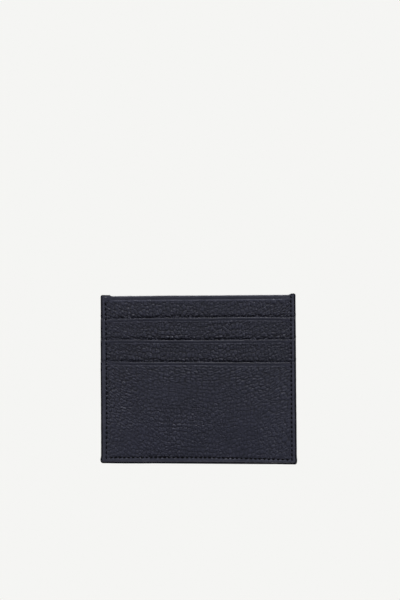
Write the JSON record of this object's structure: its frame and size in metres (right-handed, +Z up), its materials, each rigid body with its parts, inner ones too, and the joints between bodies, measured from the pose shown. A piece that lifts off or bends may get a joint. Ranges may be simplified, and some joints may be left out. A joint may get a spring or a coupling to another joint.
{
  "type": "card holder",
  "caption": "Flat upright card holder in dark navy pebbled leather, with stepped card slots on both faces, a centre pocket, stitched sides and painted edges.",
  "frame": {"origin": "middle of the bottom edge, on the surface that the holder stands on", "axes": "+X to the right across the width, +Y from the front face to the back face, +Z up towards the open top"},
  "size_m": [0.096, 0.0102, 0.083],
  "materials": {
    "pebbled_leather": "semi-matt pebbled grain, dark navy",
    "lining_cloth": "fine woven, dark navy",
    "bonded_leather": "skived and glued, dark navy",
    "edge_paint": "satin edge paint, blue-black",
    "thread": "waxed thread, near black"
  },
  "bodies": {
    "root": {"back_middle_slot_leather": "pebbled_leather", "back_middle_slot_lining": "lining_cloth", "back_middle_slot_margins": "bonded_leather", "back_middle_slot_mouth_paint": "edge_paint", "back_middle_slot_tack_stitches": "thread", "back_panel_leather": "pebbled_leather", "back_panel_lining": "lining_cloth", "back_panel_mouth_paint": "edge_paint", "back_pocket_leather": "pebbled_leather", "back_pocket_lining": "lining_cloth", "back_pocket_margins": "bonded_leather", "back_pocket_mouth_paint": "edge_paint", "back_upper_slot_leather": "pebbled_leather", "back_upper_slot_lining": "lining_cloth", "back_upper_slot_margins": "bonded_leather", "back_upper_slot_mouth_paint": "edge_paint", "back_upper_slot_tack_stitches": "thread", "centre_pocket_margins": "bonded_leather", "edge_paint_bottom": "edge_paint", "edge_paint_left": "edge_paint", "edge_paint_right": "edge_paint", "front_middle_slot_leather": "pebbled_leather", "front_middle_slot_lining": "lining_cloth", "front_middle_slot_margins": "bonded_leather", "front_middle_slot_mouth_paint": "edge_paint", "front_middle_slot_tack_stitches": "thread", "front_panel_leather": "pebbled_leather", "front_panel_lining": "lining_cloth", "front_panel_mouth_paint": "edge_paint", "front_pocket_leather": "pebbled_leather", "front_pocket_lining": "lining_cloth", "front_pocket_margins": "bonded_leather", "front_pocket_mouth_paint": "edge_paint", "front_upper_slot_leather": "pebbled_leather", "front_upper_slot_lining": "lining_cloth", "front_upper_slot_margins": "bonded_leather", "front_upper_slot_mouth_paint": "edge_paint", "front_upper_slot_tack_stitches": "thread", "seam_stitches_bottom": "thread", "seam_stitches_left": "thread", "seam_stitches_right": "thread"}
  },
  "joints": []
}
